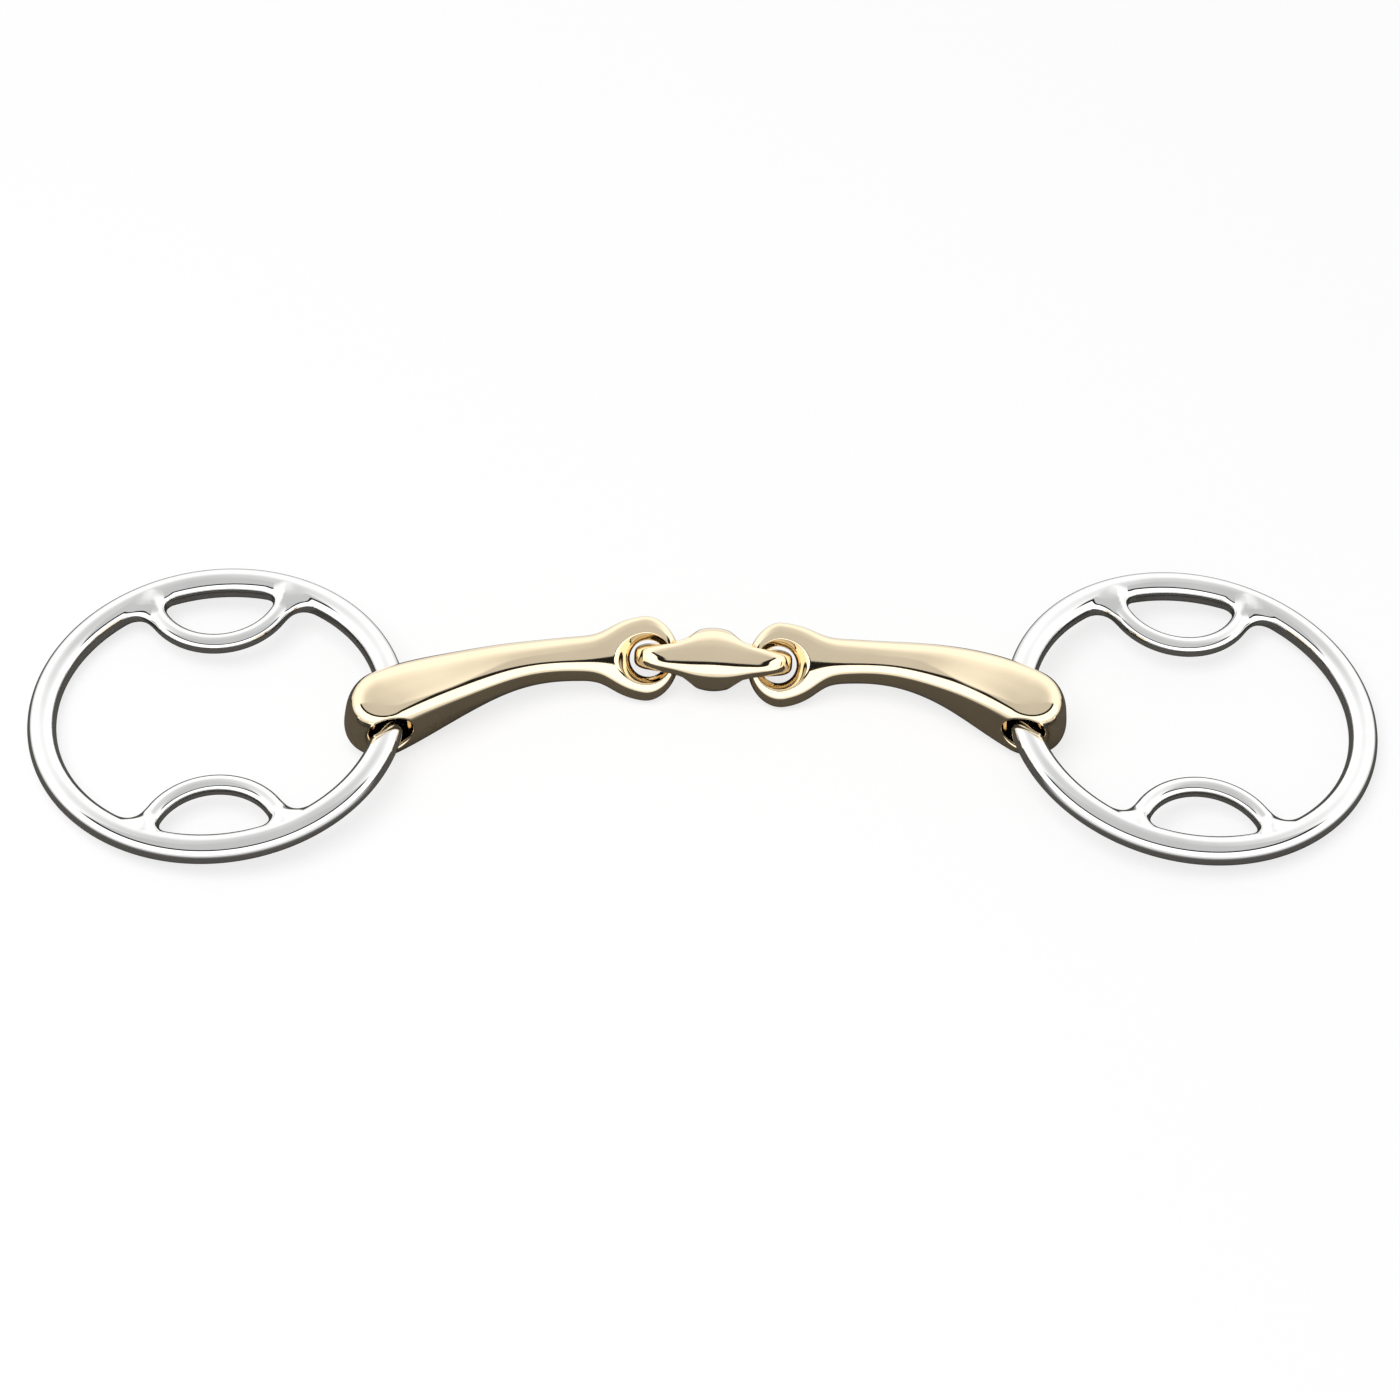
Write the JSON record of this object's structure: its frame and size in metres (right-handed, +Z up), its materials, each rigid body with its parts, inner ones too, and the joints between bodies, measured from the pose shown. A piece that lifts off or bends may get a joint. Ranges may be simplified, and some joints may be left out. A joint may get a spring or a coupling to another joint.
{
  "type": "snaffle bit",
  "caption": "Double-jointed loose-ring snaffle bit: two curved cannons, a lozenge centre link and round rings with inner rein and cheek loops.",
  "frame": {"origin": "on the table under the middle of the bit, at the centre of its footprint", "axes": "+Z up, +X along the mouthpiece towards the right ring, +Y towards the side that the mouthpiece bows to"},
  "size_m": [0.2708, 0.0758, 0.017],
  "materials": {
    "polished_steel": "mirror-polished stainless steel",
    "gold_alloy": "mirror-polished pale gold copper alloy"
  },
  "bodies": {
    "link": {"centre_link": "gold_alloy"},
    "cannon_left": {"left_cannon": "gold_alloy"},
    "cannon_right": {"right_cannon": "gold_alloy"},
    "ring_left": {"left_ring": "polished_steel", "left_upper_loop": "polished_steel", "left_lower_loop": "polished_steel"},
    "ring_right": {"right_ring": "polished_steel", "right_upper_loop": "polished_steel", "right_lower_loop": "polished_steel"}
  },
  "joints": [
    {"name": "left_fold", "type": "hinge", "parent": "link", "child": "cannon_left", "pos_m": [-0.0113, 0.0144, 0.00675], "axis": [0, -0.6947, 0.7193], "range_deg": [-40, 40]},
    {"name": "right_fold", "type": "hinge", "parent": "link", "child": "cannon_right", "pos_m": [0.0149, 0.0128, 0.00675], "axis": [0, 0.6947, -0.7193], "range_deg": [-40, 40]},
    {"name": "left_ring_swing", "type": "hinge", "parent": "cannon_left", "child": "ring_left", "pos_m": [-0.0628, 0, 0.00916], "axis": [0, 1, 0], "range_deg": [-90, 105]},
    {"name": "right_ring_swing", "type": "hinge", "parent": "cannon_right", "child": "ring_right", "pos_m": [0.0628, 0, 0.00916], "axis": [0, -1, 0], "range_deg": [-90, 105]}
  ]
}
